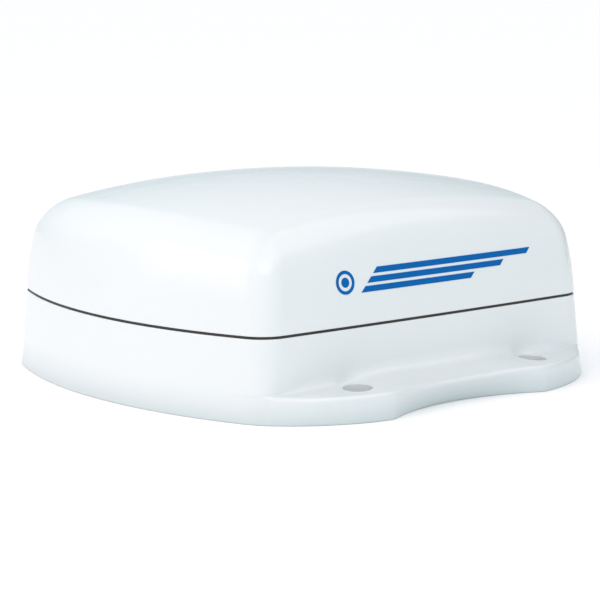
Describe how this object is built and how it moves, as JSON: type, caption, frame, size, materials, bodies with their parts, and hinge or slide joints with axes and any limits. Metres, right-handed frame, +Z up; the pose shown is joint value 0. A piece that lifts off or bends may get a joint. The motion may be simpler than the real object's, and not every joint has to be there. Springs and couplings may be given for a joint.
{
  "type": "radar dome antenna",
  "caption": "Low four-cornered marine radome with bolt flanges at bow and stern, holding a geared rotating patch array on a bearing spindle.",
  "frame": {"origin": "centre of the footprint on the mounting plane", "axes": "+Z up along the scanner's turning axis, -Y towards the bow face that carries the mark, +X to the right when looking along +Y"},
  "size_m": [0.485, 0.487, 0.19],
  "materials": {
    "white_shell": "gloss moulded",
    "mark_blue": "screen printed film",
    "seal_rubber": "moulded",
    "stainless": "turned",
    "brass": "machined",
    "gold_pin": "plated",
    "chassis_aluminium": "satin",
    "cast_aluminium": "cast and turned",
    "bearing_steel": "ground",
    "spring_steel": "blackened",
    "zinc_steel": "zinc plated",
    "motor_black": "satin",
    "gear_white": "moulded acetal",
    "black_plastic": "moulded",
    "connector_black": "moulded",
    "board_green": "solder mask",
    "chip_black": "moulded",
    "capacitor_sleeve": "shrink sleeve",
    "ferrite": "sintered",
    "foam_white": "closed cell",
    "patch_copper": "etched",
    "array_aluminium": "passivated sheet",
    "vent_grey": "moulded"
  },
  "bodies": {
    "housing": {"radome_cover": "white_shell", "base_housing": "white_shell", "bow_mark": "mark_blue", "seal_gasket": "seal_rubber", "cover_screws": "stainless", "cover_screw_seals": "seal_rubber", "cover_inserts": "brass", "mounting_sleeves": "stainless", "breather_vent": "vent_grey", "inlet_shell": "connector_black", "inlet_insert": "black_plastic", "inlet_pins": "gold_pin", "inlet_gasket": "seal_rubber", "inlet_nut": "brass", "chassis_plate": "chassis_aluminium", "chassis_screws": "zinc_steel", "bearing_housing": "cast_aluminium", "bearing_housing_screws": "zinc_steel", "lower_bearing_outer_ring": "bearing_steel", "upper_bearing_outer_ring": "bearing_steel", "lower_bearing_balls": "bearing_steel", "upper_bearing_balls": "bearing_steel", "bearing_circlip": "spring_steel", "motor_bracket": "array_aluminium", "motor_standoffs": "zinc_steel", "motor_bracket_screws": "zinc_steel", "motor_screws": "zinc_steel", "motor_body": "motor_black", "heading_sensor": "black_plastic", "rotary_joint_body": "black_plastic", "main_board": "board_green", "main_board_chips": "chip_black", "main_board_sockets": "connector_black", "power_board": "board_green", "power_capacitors": "capacitor_sleeve", "power_inductors": "ferrite", "power_heat_sink": "motor_black", "board_standoffs": "brass", "board_screws": "zinc_steel", "transceiver_case": "cast_aluminium", "transceiver_lid": "cast_aluminium", "transceiver_screws": "zinc_steel"},
    "scanner": {"spindle": "stainless", "spindle_nut": "zinc_steel", "lower_bearing_inner_ring": "bearing_steel", "upper_bearing_inner_ring": "bearing_steel", "bearing_spacer": "chassis_aluminium", "main_gear": "gear_white", "main_gear_screws": "zinc_steel", "heading_flag": "array_aluminium", "rotary_joint_pin": "gold_pin", "array_bracket": "array_aluminium", "array_bracket_screws": "zinc_steel", "array_reflector": "array_aluminium", "array_foam": "foam_white", "array_feed_board": "board_green", "array_patches": "patch_copper", "array_screws": "zinc_steel"},
    "motor_rotor": {"motor_shaft": "stainless", "motor_pinion": "brass"}
  },
  "joints": [
    {"name": "scan_turn", "type": "hinge", "parent": "housing", "child": "scanner", "pos_m": [0, 0, 0.045], "axis": [0, 0, 1], "continuous": true},
    {"name": "motor_turn", "type": "hinge", "parent": "housing", "child": "motor_rotor", "pos_m": [-0.056, 0, 0.06], "axis": [0, 0, 1], "continuous": true}
  ],
  "couplings": [
    {"joint": "motor_turn", "follows": "scan_turn", "ratio": -6}
  ]
}
